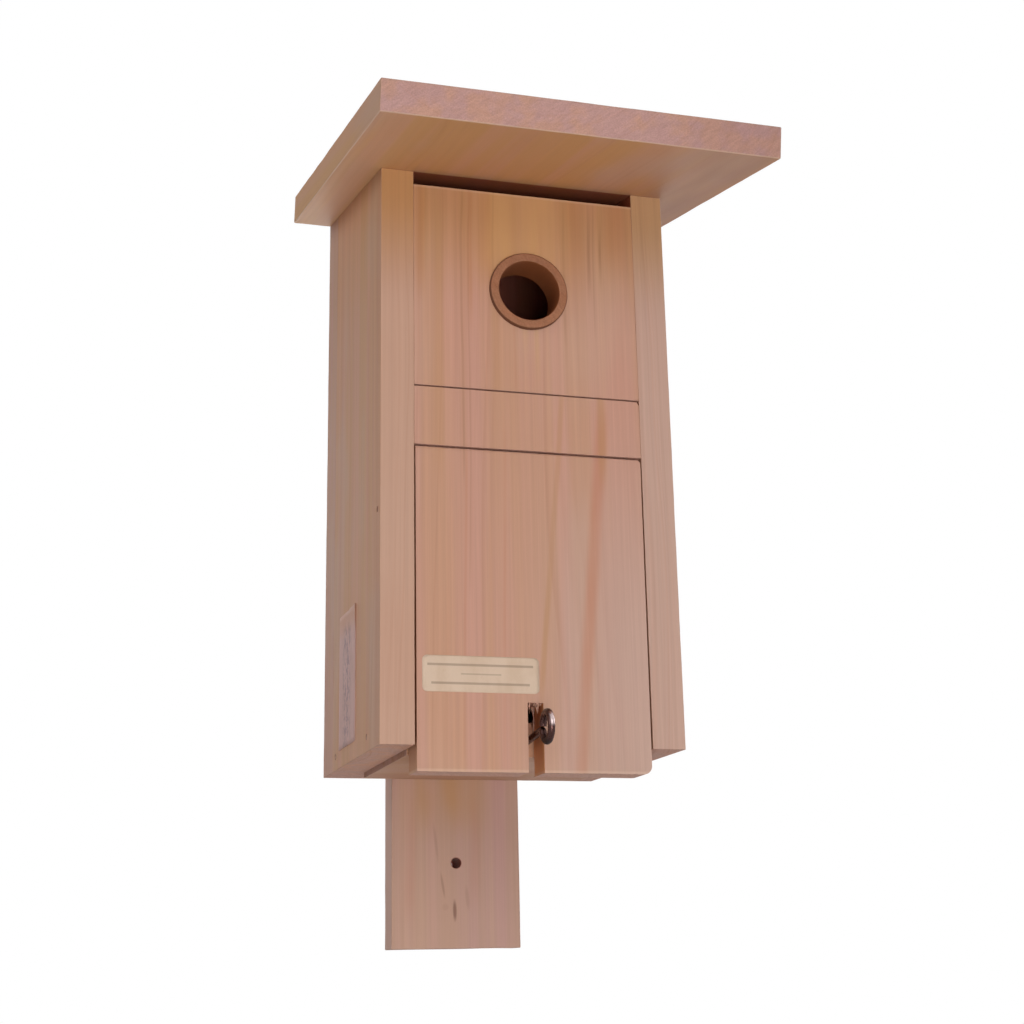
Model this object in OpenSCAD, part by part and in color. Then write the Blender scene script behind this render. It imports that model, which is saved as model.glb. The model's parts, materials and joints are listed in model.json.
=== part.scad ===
// Wooden nest box with a hinged cleaning flap, a turned entrance ring and a
// mounting batten. The origin is on the back face of the batten, on the middle
// line of the box, level with the lower ends of the side walls. The front of
// the box faces -Y, and +Z is up. All sizes are in millimetres.

/* [Boards] */
// Thickness of the side walls, the floor and the front pieces
board_t = 18; // [15:0.5:24]
// Thickness of the back board
back_t = 27; // [18:0.5:32]
// Thickness of the roof board
roof_t = 17; // [14:0.5:24]

/* [Box] */
// Width across the side walls
box_w = 162; // [145:1:190]
// Depth of the side walls, from the front to the back board
side_depth = 125; // [105:1:160]
// Height of the side walls along their front edges
front_h = 312; // [300:1:340]
// Slope of the roof, rising to the back, in degrees
roof_pitch = 11.5; // [5:0.5:18]

/* [Roof] */
// Reach of the roof in front of the box
roof_front_reach = 102; // [60:1:130]
// Reach of the roof past the left side wall
roof_left_reach = 23; // [10:1:40]
// Reach of the roof past the right side wall
roof_right_reach = 27; // [10:1:40]

/* [Front] */
// Height of the ventilation gap under the roof
vent_gap = 7.5; // [5:0.5:9]
// Height of the joint below the entrance panel
upper_joint = 0.8; // [0.6:0.1:3]
// Height of the fixed rail
rail_h = 32; // [24:0.5:40]
// Height of the joint between the rail and the flap
lower_joint = 0.8; // [0.7:0.1:3]
// Height of the flap
flap_h = 168.5; // [150:0.5:175]
// Reach of the flap below the side walls
flap_drop = 13; // [6:1:20]
// Gap on each side of the flap, at its upper end
flap_side_gap = 0.6; // [0.5:0.1:2]
// Growth of that gap down to the flap's lower end
flap_taper = 0.4; // [0:0.1:1]
// Rounding of the flap's upper front edge, which swings past the rail
flap_top_round = 1.5; // [1:0.1:2]
// Radius of the flap's worn lower right corner
flap_corner_r = 4.5; // [2:0.5:8]
// Width of the knocked-off upper right corners of the rail and the flap
nick_w = 1.4; // [0.5:0.1:2.5]
// Height of the knocked-off upper right corners of the rail and the flap
nick_h = 2.4; // [1:0.1:3.5]

/* [Entrance] */
// Diameter of the way in, through the ring
entrance_d = 34; // [26:1:36]
// Outer diameter of the turned ring
ring_d = 44; // [42:1:50]
// Reach of the ring in front of the panel
ring_proud = 3; // [2:0.5:6]
// Reach of the ring behind the panel
ring_inside = 0; // [0:0.5:6]
// Rounding of the ring's outer front edge
ring_outer_round = 1.2; // [0.5:0.1:2]
// Rounding of the ring's inner front edge
ring_inner_round = 0.8; // [0.3:0.1:1.5]
// Sideways place of the entrance, from the middle line
entrance_x = 1; // [-8:0.5:8]
// Height of the middle of the entrance
entrance_z = 247; // [235:1:265]

/* [Floor] */
// Reach of the floor board below the side walls
floor_drop = 3; // [0:0.5:5]
// Gap between the flap and the floor board
floor_gap = 1; // [0.6:0.1:2]

/* [Flap pivot] */
// Distance from the flap's upper edge down to its pivot nails
pivot_drop = 34; // [30:1:40]
// Distance from the flap's face back to its pivot nails
pivot_inset = 7; // [6:0.5:9]
// Diameter of the pivot nails
pivot_nail_d = 2.8; // [2:0.1:4]
// Diameter of the pivot nails' heads
pivot_head_d = 3.4; // [3.2:0.1:6]
// Reach of the pivot nails into the flap
pivot_reach = 14; // [8:1:24]
// Running clearance round the pivot nails, on the radius
pivot_clear = 0.1; // [0.05:0.01:0.3]

/* [Latch] */
// Width of the slot in the flap
slot_w = 8.4; // [6:0.2:12]
// Height of the slot's upper end above the lower ends of the side walls
slot_top = 22.3; // [19:0.1:30]
// Outer diameter of the screw eye
eye_d = 18; // [14:0.5:22]
// Diameter of the screw eye's wire
eye_wire = 3.8; // [2.4:0.1:4.2]
// Distance from the flap's face to the middle of the eye
eye_reach = 19; // [16:1:34]
// Height of the screw eye where it enters the floor board
eye_z = 4.5; // [2:0.5:9]
// Upward tilt of the screw eye, in degrees
eye_tilt = 5; // [0:0.5:8]
// Length of the screw eye inside the floor board
eye_bite = 24; // [15:1:40]
// Length of the screw eye's point
eye_tip_l = 6; // [4:0.5:10]
// Clearance round the screw in the floor board, on the radius
eye_clear = 0.05; // [0.02:0.01:0.2]

/* [Mounting batten] */
// Width of the batten
batten_w = 76; // [60:1:90]
// Thickness of the batten
batten_t = 18; // [15:0.5:27]
// Sideways place of the batten, from the middle line
batten_x = -3; // [-10:0.5:10]
// Reach of the batten below the side walls
batten_below = 95; // [70:1:120]
// Reach of the batten above the roof
batten_above = 80; // [60:1:85]
// Diameter of the fixing holes
fixing_hole_d = 6; // [4:0.5:8]
// Distance from the batten's ends to the fixing holes
fixing_inset = 47.5; // [30:0.5:55]

/* [Nails and screws] */
// Diameter of the wood screws
screw_d = 4; // [3:0.5:5]
// Diameter of the wood screws' countersunk heads
screw_head_d = 8; // [7:0.5:9]
// Length of the screws through the roof
roof_screw_l = 45; // [35:5:60]
// Length of the screws through the back board
back_screw_l = 50; // [40:5:60]
// Length of the screws through the batten
batten_screw_l = 38; // [30:1:42]
// Distance from the front to the first roof screws
roof_screw_front_inset = 35; // [28:1:50]
// Distance from the back board to the second roof screws
roof_screw_back_inset = 30; // [20:1:45]
// Height of the lower screws through the back board
back_screw_low = 40; // [30:1:80]
// Distance from the top of the front down to the upper screws through the back board
back_screw_drop = 42; // [30:1:80]
// Height of the lower screw through the batten
batten_screw_low = 60; // [30:1:100]
// Distance from the top of the front down to the upper screw through the batten
batten_screw_drop = 27; // [20:1:60]
// Diameter of the floor nails
nail_d = 2.4; // [2:0.1:3]
// Diameter of the floor nails' heads
nail_head_d = 3.6; // [3.2:0.1:7]
// Thickness of the nails' heads
nail_head_t = 1.2; // [0.8:0.1:2]
// Length of the floor nails
nail_l = 45; // [35:1:60]
// Distance from the front to the first floor nail
nail_front_inset = 32; // [26:1:45]
// Distance from the back board to the second floor nail
nail_back_inset = 10; // [8:1:40]
// Height of the floor nails above the floor board's lower face
nail_rise = 10.5; // [7:0.5:12]

/* [Labels] */
// Thickness of the paper labels
label_t = 0.3; // [0.2:0.05:0.5]
// Width of the label on the flap
front_label_w = 61.5; // [40:0.5:80]
// Height of the label on the flap
front_label_h = 18.5; // [12:0.5:30]
// Rounding of the corners of the label on the flap
front_label_r = 2.5; // [1:0.5:5]
// Sideways place of the middle of the label on the flap
front_label_x = -28.5; // [-30:0.5:30]
// Height of the middle of the label on the flap
front_label_z = 36; // [34:0.5:120]
// Width of the label on the left side wall
side_label_w = 40; // [20:1:60]
// Height of the label on the left side wall
side_label_h = 72; // [40:1:120]
// Distance from the front to the middle of the label on the left side wall
side_label_inset = 83; // [50:1:90]
// Height of the middle of the label on the left side wall
side_label_z = 46.5; // [42:0.5:200]
// Turn of the label on the left side wall, with its front end low, in degrees
side_label_turn = 3; // [0:0.5:5]

/* [Hidden] */
$fn = 48;

LEFT = -1;
RIGHT = 1;

// Extra length of a cut past a face, and of solids that run into each other
through = 1;
// Width of a point's end, as a share of its shank
point_share = 0.25;

// Planes from the mounting face at y = 0 to the front
back_rear_y = -batten_t;
back_front_y = back_rear_y - back_t;
front_y = back_front_y - side_depth;
inner_front_y = front_y + board_t;
inner_w = box_w - 2 * board_t;

// Heights of the front pieces, from the vent gap down
panel_top = front_h - vent_gap;
flap_bottom = -flap_drop;
flap_top = flap_bottom + flap_h;
rail_bottom = flap_top + lower_joint;
rail_top = rail_bottom + rail_h;
panel_bottom = rail_top + upper_joint;
flap_w = inner_w - 2 * flap_side_gap;
flap_foot_w = flap_w - 2 * flap_taper;
pivot_y = front_y + pivot_inset;
pivot_z = flap_top - pivot_drop;

// The roof board lies in a frame tilted about the front edge of the side walls
roof_rise = tan(roof_pitch);
roof_length = (roof_front_reach + side_depth + back_t) / cos(roof_pitch);
roof_w = box_w + roof_left_reach + roof_right_reach;
roof_top_back_z = underside_z(back_rear_y) + roof_t / cos(roof_pitch);

// The floor board and the screw eye in the middle of its front edge
floor_front_y = inner_front_y + floor_gap;
floor_length = back_front_y - floor_front_y;
floor_z = -floor_drop;
eye_middle = eye_reach + board_t + floor_gap;
eye_ring_r = (eye_d - eye_wire) / 2;

// The batten's ends and its fixing holes
batten_bottom = -batten_below;
batten_top = roof_top_back_z + batten_above;
fixing_zs = [batten_bottom + fixing_inset, batten_top - fixing_inset];

// Places of the screws and nails
screw_head_h = (screw_head_d - screw_d) / 2;
screw_side_x = box_w / 2 - board_t / 2;
roof_screw_ys = [front_y + roof_screw_front_inset, back_front_y - roof_screw_back_inset];
back_screw_zs = [back_screw_low, front_h - back_screw_drop];
batten_screw_zs = [batten_screw_low, front_h - batten_screw_drop];
floor_nail_ys = [front_y + nail_front_inset, back_front_y - nail_back_inset];
floor_nail_z = floor_z + nail_rise;

// Height of the roof's underside at a place y
function underside_z(y) = front_h + (y - front_y) * roof_rise;

// A profile of y and z points, drawn out along X from x0
module along_x(x0, length) {
    translate([x0, 0, 0]) rotate([90, 0, 90]) linear_extrude(length) children();
}

// A profile of x and z points, drawn out backwards along Y from y0
module along_y(y0, depth) {
    translate([0, y0 + depth, 0]) rotate([90, 0, 0]) linear_extrude(depth) children();
}

// The screw eye's own frame, with its start at the mouth of its bore and its ring at -Y
module at_eye() {
    translate([0, floor_front_y, eye_z]) rotate([-eye_tilt, 0, 0]) children();
}

// A round bar along X, from x0 towards the given side
module bar_x(side, x0, y, z, length, d) {
    translate([x0, y, z]) rotate([0, side * 90, 0]) cylinder(h = length, d = d);
}

// A wood screw with a flat countersunk head, with the head's face at the
// origin and its point down -Z
module wood_screw(length) {
    tip = screw_d;
    translate([0, 0, -screw_head_h])
        cylinder(h = screw_head_h, d1 = screw_d, d2 = screw_head_d);
    translate([0, 0, -(length - tip)]) cylinder(h = length - tip - screw_head_h, d = screw_d);
    translate([0, 0, -length]) cylinder(h = tip, d1 = screw_d * point_share, d2 = screw_d);
}

// The places and directions of the screws, each drawn with -Z into the wood
module at_roof_screws() {
    for (side = [LEFT, RIGHT])
        for (y = roof_screw_ys)
            translate([side * screw_side_x, y, underside_z(y)])
                rotate([roof_pitch, 0, 0]) translate([0, 0, roof_t]) children();
}

module at_back_screws() {
    for (side = [LEFT, RIGHT])
        for (z = back_screw_zs)
            translate([side * screw_side_x, back_rear_y, z]) rotate([-90, 0, 0]) children();
}

module at_batten_screws() {
    for (z = batten_screw_zs)
        translate([batten_x, 0, z]) rotate([-90, 0, 0]) children();
}

// A nail driven in from a side wall's outer face, with its head flush
module side_nail(side, y, z, length, d, head_d) {
    outer_x = side * box_w / 2;
    bar_x(-side, outer_x, y, z, nail_head_t, head_d);
    bar_x(-side, outer_x, y, z, length - d, d);
    translate([outer_x - side * (length - d), y, z])
        rotate([0, -side * 90, 0]) cylinder(h = d, d1 = d, d2 = d * point_share);
}

module floor_nails(side) {
    for (y = floor_nail_ys) side_nail(side, y, floor_nail_z, nail_l, nail_d, nail_head_d);
}

module pivot_nail(side) {
    length = board_t + flap_side_gap + pivot_reach;
    side_nail(side, pivot_y, pivot_z, length, pivot_nail_d, pivot_head_d);
}

// A side wall, cut to the slope of the roof at its upper end
module side_wall(side) {
    x0 = side == LEFT ? -box_w / 2 : inner_w / 2;
    difference() {
        along_x(x0, board_t)
            polygon([
                [front_y, 0],
                [back_front_y, 0],
                [back_front_y, underside_z(back_front_y)],
                [front_y, underside_z(front_y)]
            ]);
        floor_nails(side);
        pivot_nail(side);
        at_roof_screws() wood_screw(roof_screw_l);
        at_back_screws() wood_screw(back_screw_l);
    }
}

module batten() {
    color("tan") difference() {
        translate([batten_x - batten_w / 2, back_rear_y, batten_bottom])
            cube([batten_w, batten_t, batten_top - batten_bottom]);
        for (z = fixing_zs)
            translate([batten_x, through, z]) rotate([90, 0, 0])
                cylinder(h = batten_t + 2 * through, d = fixing_hole_d);
        at_batten_screws() wood_screw(batten_screw_l);
    }
}

module back_board() {
    color("tan") difference() {
        along_x(-box_w / 2, box_w)
            polygon([
                [back_front_y, 0],
                [back_rear_y, 0],
                [back_rear_y, underside_z(back_rear_y)],
                [back_front_y, underside_z(back_front_y)]
            ]);
        at_back_screws() wood_screw(back_screw_l);
        at_batten_screws() wood_screw(batten_screw_l);
    }
}

module left_side() {
    color("burlywood") side_wall(LEFT);
}

module right_side() {
    color("burlywood") side_wall(RIGHT);
}

module floor_board() {
    color("tan") difference() {
        translate([-inner_w / 2, floor_front_y, floor_z]) cube([inner_w, floor_length, board_t]);
        floor_nails(LEFT);
        floor_nails(RIGHT);
        at_eye() translate([0, -through, 0]) rotate([-90, 0, 0])
            cylinder(h = eye_bite + through + eye_clear, d = eye_wire + 2 * eye_clear);
    }
}

module entrance_panel() {
    color("burlywood") difference() {
        translate([-inner_w / 2, front_y, panel_bottom])
            cube([inner_w, board_t, panel_top - panel_bottom]);
        translate([entrance_x, front_y - through, entrance_z]) rotate([-90, 0, 0])
            cylinder(h = board_t + 2 * through, d = ring_d);
    }
}

// The ring's section, with its front at y = 0 and both front edges rounded
module ring_section() {
    ring_l = ring_proud + board_t + ring_inside;
    inner_r = entrance_d / 2;
    outer_r = ring_d / 2;
    translate([inner_r, ring_outer_round]) square([outer_r - inner_r, ring_l - ring_outer_round]);
    translate([inner_r + ring_inner_round, 0])
        square([outer_r - inner_r - ring_inner_round - ring_outer_round, ring_l]);
    translate([inner_r, ring_inner_round]) square([outer_r - inner_r - ring_outer_round, ring_l / 2]);
    translate([inner_r + ring_inner_round, ring_inner_round]) circle(ring_inner_round);
    translate([outer_r - ring_outer_round, ring_outer_round]) circle(ring_outer_round);
}

module entrance_ring() {
    color("peru") translate([entrance_x, front_y - ring_proud, entrance_z])
        rotate([-90, 0, 0]) rotate_extrude() ring_section();
}

// The fixed rail between the side walls, with its upper right corner knocked off
module front_rail() {
    color("burlywood") along_y(front_y, board_t)
        polygon([
            [-inner_w / 2, rail_bottom],
            [inner_w / 2, rail_bottom],
            [inner_w / 2, rail_top - nick_h],
            [inner_w / 2 - nick_w, rail_top],
            [-inner_w / 2, rail_top]
        ]);
}

// The flap's outline, which narrows to its foot, with its lower right corner rounded and
// the slot open below
module flap_outline() {
    corner = [flap_foot_w / 2 - flap_corner_r, flap_bottom + flap_corner_r];
    difference() {
        union() {
            polygon([
                [-flap_foot_w / 2, flap_bottom],
                [corner[0], flap_bottom],
                corner,
                [flap_foot_w / 2, corner[1]],
                [flap_w / 2, flap_top - nick_h],
                [flap_w / 2 - nick_w, flap_top],
                [-flap_w / 2, flap_top]
            ]);
            translate(corner) circle(flap_corner_r);
        }
        translate([-slot_w / 2, flap_bottom - through])
            square([slot_w, slot_top - flap_bottom + through]);
    }
}

// What is taken off a square edge along X, whose corner is at y and z, to round it
module edge_waste(x0, length, y, z, r) {
    along_x(x0, length) difference() {
        translate([y - through, z - r]) square([r + through, r + through]);
        translate([y + r, z - r]) circle(r);
    }
}

module flap() {
    bore_l = pivot_reach + flap_side_gap + through;
    color("burlywood") difference() {
        along_y(front_y, board_t) flap_outline();
        edge_waste(-inner_w / 2, inner_w, front_y, flap_top, flap_top_round);
        for (side = [LEFT, RIGHT])
            bar_x(-side, side * inner_w / 2, pivot_y, pivot_z, bore_l, pivot_nail_d + 2 * pivot_clear);
    }
}

// The roof board, in one piece, with its ends cut square to its faces
module roof_board() {
    color("wheat") difference() {
        translate([-box_w / 2 - roof_left_reach, front_y, front_h]) rotate([roof_pitch, 0, 0])
            translate([0, -roof_front_reach / cos(roof_pitch), 0])
                cube([roof_w, roof_length, roof_t]);
        at_roof_screws() wood_screw(roof_screw_l);
    }
}

// The screw eye in its open position, with the ring upright in line with the slot
module screw_eye() {
    shank_start = eye_ring_r - eye_middle;
    shank_end = eye_bite - eye_tip_l;
    color("silver") at_eye() {
        translate([0, -eye_middle, 0]) rotate([0, 90, 0])
            rotate_extrude() translate([eye_ring_r, 0]) circle(d = eye_wire);
        translate([0, shank_start, 0]) rotate([-90, 0, 0])
            cylinder(h = shank_end - shank_start, d = eye_wire);
        translate([0, shank_end, 0]) rotate([-90, 0, 0])
            cylinder(h = eye_tip_l, d1 = eye_wire, d2 = eye_wire * point_share);
    }
}

module left_pivot_nail() {
    color("silver") pivot_nail(LEFT);
}

module right_pivot_nail() {
    color("silver") pivot_nail(RIGHT);
}

module left_floor_nails() {
    color("silver") floor_nails(LEFT);
}

module right_floor_nails() {
    color("silver") floor_nails(RIGHT);
}

module roof_screws() {
    color("silver") at_roof_screws() wood_screw(roof_screw_l);
}

module back_screws() {
    color("silver") at_back_screws() wood_screw(back_screw_l);
}

module batten_screws() {
    color("silver") at_batten_screws() wood_screw(batten_screw_l);
}

// A rectangle with round corners, about the origin
module rounded_label(width, height, r) {
    square([width - 2 * r, height], center = true);
    square([width, height - 2 * r], center = true);
    for (x = [LEFT, RIGHT], z = [-1, 1])
        translate([x * (width / 2 - r), z * (height / 2 - r)]) circle(r);
}

module front_label() {
    color("cornsilk") along_y(front_y - label_t, label_t)
        translate([front_label_x, front_label_z])
            rounded_label(front_label_w, front_label_h, front_label_r);
}

module side_label() {
    color("lightgray")
        translate([-box_w / 2 - label_t, front_y + side_label_inset, side_label_z])
            rotate([side_label_turn, 0, 0])
                translate([0, -side_label_w / 2, -side_label_h / 2])
                    cube([label_t, side_label_w, side_label_h]);
}

batten();
back_board();
left_side();
right_side();
floor_board();
entrance_panel();
entrance_ring();
front_rail();
flap();
roof_board();
screw_eye();
left_pivot_nail();
right_pivot_nail();
left_floor_nails();
right_floor_nails();
roof_screws();
back_screws();
batten_screws();
front_label();
side_label();
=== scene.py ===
"""Looks of the wooden nest box: worn boards, turned ring, screw eye, nails, screws and labels.

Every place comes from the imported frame, in metres. Sizes typed here are in millimetres, times MM.
"""

import json
import math
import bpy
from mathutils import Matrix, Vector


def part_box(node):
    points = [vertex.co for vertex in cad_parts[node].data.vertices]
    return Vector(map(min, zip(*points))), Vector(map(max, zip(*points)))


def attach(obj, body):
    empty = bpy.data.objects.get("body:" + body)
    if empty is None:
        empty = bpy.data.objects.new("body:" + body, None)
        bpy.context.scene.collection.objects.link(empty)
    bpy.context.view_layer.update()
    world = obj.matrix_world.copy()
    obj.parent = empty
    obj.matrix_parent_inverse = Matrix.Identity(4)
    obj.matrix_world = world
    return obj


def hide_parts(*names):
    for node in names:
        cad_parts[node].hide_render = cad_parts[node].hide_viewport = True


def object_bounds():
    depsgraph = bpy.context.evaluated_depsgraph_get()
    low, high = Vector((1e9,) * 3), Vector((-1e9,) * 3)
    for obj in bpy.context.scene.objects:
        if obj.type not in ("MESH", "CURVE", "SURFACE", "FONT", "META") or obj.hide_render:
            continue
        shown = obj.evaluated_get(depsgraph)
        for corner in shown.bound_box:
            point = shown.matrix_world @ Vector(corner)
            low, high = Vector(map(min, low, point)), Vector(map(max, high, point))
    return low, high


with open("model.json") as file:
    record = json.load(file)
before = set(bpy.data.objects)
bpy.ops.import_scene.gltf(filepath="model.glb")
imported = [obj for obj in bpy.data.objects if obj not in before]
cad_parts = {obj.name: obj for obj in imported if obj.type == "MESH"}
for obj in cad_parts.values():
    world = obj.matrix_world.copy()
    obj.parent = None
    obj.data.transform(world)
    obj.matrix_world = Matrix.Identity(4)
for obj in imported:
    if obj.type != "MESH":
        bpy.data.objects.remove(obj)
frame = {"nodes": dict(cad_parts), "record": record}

from types import SimpleNamespace

import bmesh
import bpy
from mathutils import Vector, noise

MM = 0.001
cad_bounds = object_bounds()

X_AXIS = Vector((1, 0, 0))
Y_AXIS = Vector((0, 1, 0))
Z_AXIS = Vector((0, 0, 1))


# ---- places in the frame


def centre(node):
    """The middle of a CAD node's box."""
    low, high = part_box(node)
    return (low + high) / 2


def vertices_of(node):
    """The corners of a CAD node's solid."""
    return frame["nodes"][node].data.vertices


def roof_slope():
    """The roof's angle, from the heights of the back board's two upper edges."""
    low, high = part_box("back_board")
    tops = {}
    for vertex in vertices_of("back_board"):
        at = round(vertex.co.y, 5)
        tops[at] = max(tops.get(at, low.z), vertex.co.z)
    front, rear = tops[round(low.y, 5)], tops[round(high.y, 5)]
    return math.atan2(rear - front, high.y - low.y)


ROOF_ANGLE = roof_slope()
UP_THE_ROOF = Vector((0, math.cos(ROOF_ANGLE), math.sin(ROOF_ANGLE)))
ROOF_NORMAL = Vector((0, -math.sin(ROOF_ANGLE), math.cos(ROOF_ANGLE)))


def placed(name, data):
    """A new object in the scene."""
    made = bpy.data.objects.new(name, data)
    bpy.context.scene.collection.objects.link(made)
    return made


# ---- node trees


def srgb(red, green, blue):
    """A colour of 0 to 255 values as linear red, green, blue and alpha."""

    def linear(value):
        share = value / 255
        return share / 12.92 if share <= 0.04045 else ((share + 0.055) / 1.055) ** 2.4

    return (linear(red), linear(green), linear(blue), 1)


class Tree:
    """Short calls that add nodes to one material's tree and return their outputs."""

    def __init__(self, owner):
        owner.use_nodes = True
        self.tree = owner.node_tree
        self.tree.nodes.clear()

    def add(self, kind, inputs=None, **settings):
        node = self.tree.nodes.new("ShaderNode" + kind)
        for key, value in settings.items():
            setattr(node, key, value)
        for key, value in (inputs or {}).items():
            self.feed(node.inputs[key], value)
        return node

    def feed(self, socket, value):
        if isinstance(value, bpy.types.NodeSocket):
            self.tree.links.new(value, socket)
        else:
            socket.default_value = value

    def math(self, operation, a, b=0):
        return self.add("Math", {0: a, 1: b}, operation=operation).outputs[0]

    def times(self, product, *factors):
        for factor in factors:
            product = self.math("MULTIPLY", product, factor)
        return product

    def plus(self, a, b):
        return self.math("ADD", a, b)

    def minus(self, a, b):
        return self.math("SUBTRACT", a, b)

    def away(self, a, b):
        """How far a is from b."""
        return self.math("ABSOLUTE", self.minus(a, b))

    def scale(self, value, start, end, low, high, **settings):
        """value carried from start..end to low..high along a straight line."""
        ends = {"From Min": start, "From Max": end, "To Min": low, "To Max": high}
        return self.add("MapRange", {"Value": value, **ends}, **settings).outputs["Result"]

    def ease(self, value, start, end, low=0, high=1):
        """low before start, high after end, with a smooth change between."""
        return self.scale(value, start, end, low, high, interpolation_type="SMOOTHSTEP")

    def fade(self, value, start, end, high=1):
        """high before start, 0 after end, with a smooth change between."""
        return self.ease(value, start, end, high, 0)

    def mix(self, share, a, b, blend="MIX"):
        inputs = {0: share, 6: a, 7: b}
        return self.add("Mix", inputs, data_type="RGBA", blend_type=blend).outputs[2]

    def tint(self, colour, level):
        """colour times one number."""
        grey = self.add("CombineColor", {0: level, 1: level, 2: level}).outputs[0]
        return self.mix(1, colour, grey, "MULTIPLY")

    def vector(self, x, y, z):
        return self.add("CombineXYZ", {0: x, 1: y, 2: z}).outputs[0]

    def vector_math(self, operation, *inputs):
        return self.add("VectorMath", dict(enumerate(inputs)), operation=operation).outputs

    def dot(self, vector, direction):
        return self.vector_math("DOT_PRODUCT", vector, direction)["Value"]

    def length(self, vector):
        return self.vector_math("LENGTH", vector)["Value"]

    def distance(self, a, b):
        return self.vector_math("DISTANCE", a, b)["Value"]

    def stretched(self, vector, factors, shift=0):
        """vector times factors, moved by shift, for a pattern drawn out along one way."""
        move = (shift, shift * 1.7, shift * 0.6)
        return self.vector_math("MULTIPLY_ADD", vector, factors, move)[0]

    def noise(self, vector, detail=2, roughness=0.5):
        inputs = {"Vector": vector, "Scale": 1, "Detail": detail, "Roughness": roughness}
        return self.add("TexNoise", inputs).outputs[0]

    def surface_data(self, name):
        return self.add("TexCoord").outputs[name]

    def object_mm(self):
        """The place on the object, in millimetres."""
        return self.stretched(self.surface_data("Object"), (1 / MM,) * 3)

    def blend(self, share, first, second):
        """A shader between two others."""
        return self.add("MixShader", {0: share, 1: first.outputs[0], 2: second.outputs[0]})

    def output(self, shader, kind="OutputMaterial"):
        self.add(kind, {"Surface": shader.outputs[0]})

    def finish(self, colour, roughness, specular, relief, metallic=0):
        """The material's shader. relief is the height of the surface in millimetres."""
        bump = self.add("Bump", {"Height": relief, "Distance": MM, "Strength": 1})
        inputs = {
            "Base Color": colour,
            "Metallic": metallic,
            "Roughness": roughness,
            "Specular IOR Level": specular,
            "Normal": bump.outputs[0],
        }
        self.output(self.add("BsdfPrincipled", inputs))


def new_material(name):
    """A material with an empty tree."""
    material = bpy.data.materials.new(name)
    return material, Tree(material)


# ---- timber

PINK = srgb(199, 150, 131)
GOLD = srgb(196, 149, 122)
PALE = srgb(199, 160, 138)
LATE_WOOD = srgb(172, 113, 84)
END_GRAIN = srgb(190, 150, 136)
RESIN = srgb(96, 52, 34)
ROSE = srgb(190, 126, 98)
HONEY = srgb(182, 134, 86)
BROWN_LINE = srgb(142, 92, 58)
LILAC_WOOD = srgb(196, 164, 150)
AMBER = srgb(186, 124, 74)
STRAW = srgb(204, 162, 112)
# A sawn tone for the front boards' narrow sides, partly painted shade
SAWN_AND_SHADED_EDGE = srgb(192, 139, 105)
# A fresh-cut tone for notch sides, brightened with painted light
CUT_AND_LIT_WOOD = srgb(230, 157, 105)
# Painted shade: the tint in the box's upper space and on the walls of drilled holes
SHADE_TINT = (0.57, 0.32, 0.28, 1)
# Pale worn edges, and a painted highlight on the worn edges that face down
PALE_WEAR_AND_HIGHLIGHT = srgb(236, 206, 180)

# The box's upper space, where the wood is painted in shade, in millimetres, and how fast
# that painted shade comes in from its low sides
left_inner_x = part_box("left_side")[1].x
right_inner_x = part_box("right_side")[0].x
back_low, back_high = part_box("back_board")
CAVITY_LOW = Vector((left_inner_x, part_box("flap")[0].y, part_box("front_rail")[0].z)) / MM
CAVITY_HIGH = Vector((right_inner_x, back_low.y, back_high.z)) / MM
CAVITY_FADE = (0.5, 2.5, 60)

PITH_WANDER = 9  # how far the pith strays to each side
ROOF_SHADE_RISE = 65  # the height over which the warm painted shade under the roof comes in
STREAK_HEIGHT = 90  # the height at which a streak's place across is given

# How a timber looks where its call says nothing else. Sizes and places are in millimetres.
PLAIN_TIMBER = {
    "ring": 3.4,  # the usual width of a year's growth
    "contrast": 0.3,  # how strong the growth rings are
    "pink": PINK,
    "gold": GOLD,
    "edge_tone": None,  # the colour of the narrow sides; partly painted shade on the front boards, painted light on the batten
    "flank_tone": None,  # painted shade on all faces along the grain
    "streaky": 1,  # how strong the fine streaks are
    "golden_from": None,  # the height from which warm painted shade under the roof comes in, times the tint below
    "golden": None,
    "golden_edge": None,  # that painted shade's tint on the narrow sides
    "pale_corner": 0,  # how much paler the lower right is
    "dull_right": None,  # a duller tone at the right end
    "notch": None,  # a cut-out whose sides take a fresh-cut tone brightened with painted light, as (half width, top)
    "rim": None,  # the height where the board's end is rubbed pale
    "low_arris": 0,  # how strong the painted highlight is on the worn edges that face down
    "inside": True,  # painted shade where it faces the upper space in the box
    "end_grain": END_GRAIN,
    "end_rings": 0.45,  # how strong the growth rings are on the sawn ends
    "end_blush": 0.6,  # how strong the pink patches are there
    "saw_angle": 60,  # the way of the saw marks there, in degrees
    "bores": (),  # holes through the board, each (across, along, radius), with painted shade on their walls
    # Bands along the grain, each (across at STREAK_HEIGHT, lean, half width, strength,
    # colour, lowest, highest)
    "streaks": (),
    # Dark flecks, each (across, along, half width, half length, lean, strength)
    "marks": (),
}


class Wood(Tree):
    """The tree of one timber, with places and directions that follow its grain."""

    def __init__(self, material, along, across, seed):
        super().__init__(material)
        self.seed = seed
        self.across = across
        self.through = across.cross(along)
        self.place = self.object_mm()
        self.sideways = self.dot(self.place, across)
        self.deep = self.dot(self.place, self.through)
        self.lengthways = self.dot(self.place, along)
        self.grain = self.vector(self.sideways, self.deep, self.lengthways)
        self.height = self.dot(self.place, Z_AXIS)
        self.rightwards = self.dot(self.place, X_AXIS)
        self.normal = self.surface_data("Normal")

    def grainy(self, factors, shift, detail, roughness=0.5):
        """Noise that is drawn out along the grain."""
        return self.noise(self.stretched(self.grain, factors, self.seed + shift), detail, roughness)

    def facing(self, direction):
        """1 where the surface lies square to direction, either way, 0 where it lies along it."""
        return self.math("ABSOLUTE", self.dot(self.normal, direction))


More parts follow.
